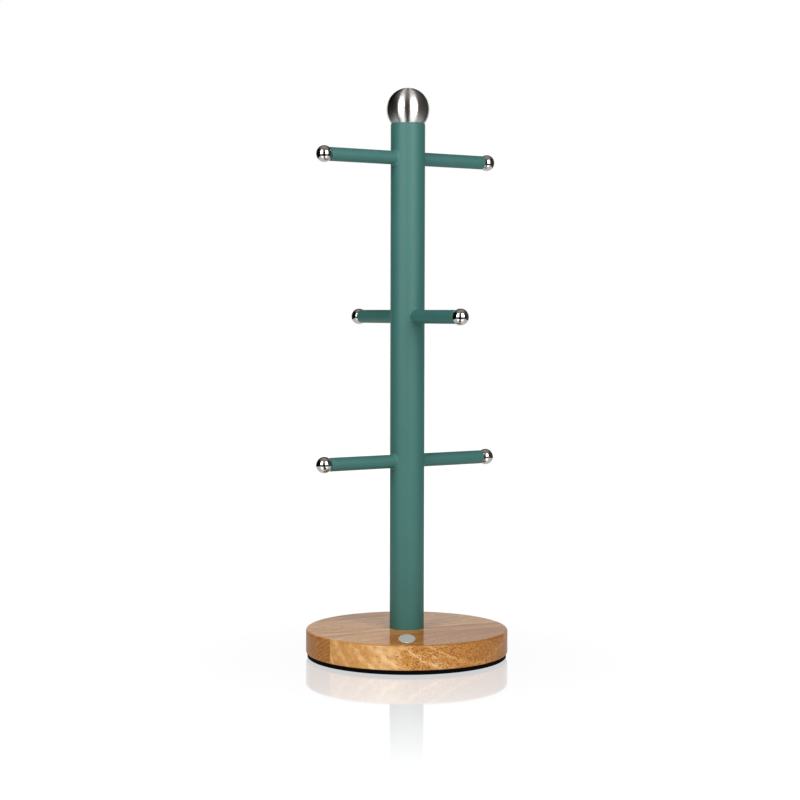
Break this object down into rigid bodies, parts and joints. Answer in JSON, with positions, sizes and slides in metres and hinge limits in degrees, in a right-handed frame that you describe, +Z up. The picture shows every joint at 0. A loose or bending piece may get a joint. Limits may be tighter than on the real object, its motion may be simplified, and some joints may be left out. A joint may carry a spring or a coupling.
{
  "type": "mug tree",
  "caption": "Free-standing mug tree: a coated steel tube on a round wooden base, crossed by rods with chromed ball ends and crowned by a brushed steel ball.",
  "frame": {"origin": "centre of the non-slip pad's underside, on the post's axis, where the stand meets the worktop", "axes": "+Z up along the post; -Y towards the badge, which is the front; +X to the right when facing the badge"},
  "size_m": [0.15, 0.15, 0.4204],
  "materials": {
    "post_paint": "matte powder coat, muted blue-green",
    "ball_chrome": "mirror polished",
    "finial_steel": "brushed in circles about its vertical axis",
    "base_wood": "satin lacquered, edge-glued light hardwood",
    "pad_rubber": "matte black, fine texture",
    "badge_steel": "silvered, satin",
    "zinc_steel": "zinc plated"
  },
  "bodies": {
    "root": {"base_stave_back": "base_wood", "base_stave_centre": "base_wood", "base_stave_narrow": "base_wood", "base_stave_front": "base_wood", "non_slip_pad": "pad_rubber", "badge_plate": "badge_steel", "base_bolt": "zinc_steel", "flat_washer": "zinc_steel", "spring_washer": "zinc_steel", "post_foot_plug": "zinc_steel", "post_top_plug": "zinc_steel", "ball_studs": "zinc_steel", "finial_stud": "zinc_steel", "finial_insert": "zinc_steel", "post_tube": "post_paint", "upper_rod": "post_paint", "middle_rod": "post_paint", "lower_rod": "post_paint", "arm_welds": "post_paint", "finial_ball": "finial_steel", "ball_upper_left": "ball_chrome", "ball_upper_right": "ball_chrome", "ball_middle_left": "ball_chrome", "ball_middle_right": "ball_chrome", "ball_lower_left": "ball_chrome", "ball_lower_right": "ball_chrome"}
  },
  "joints": []
}
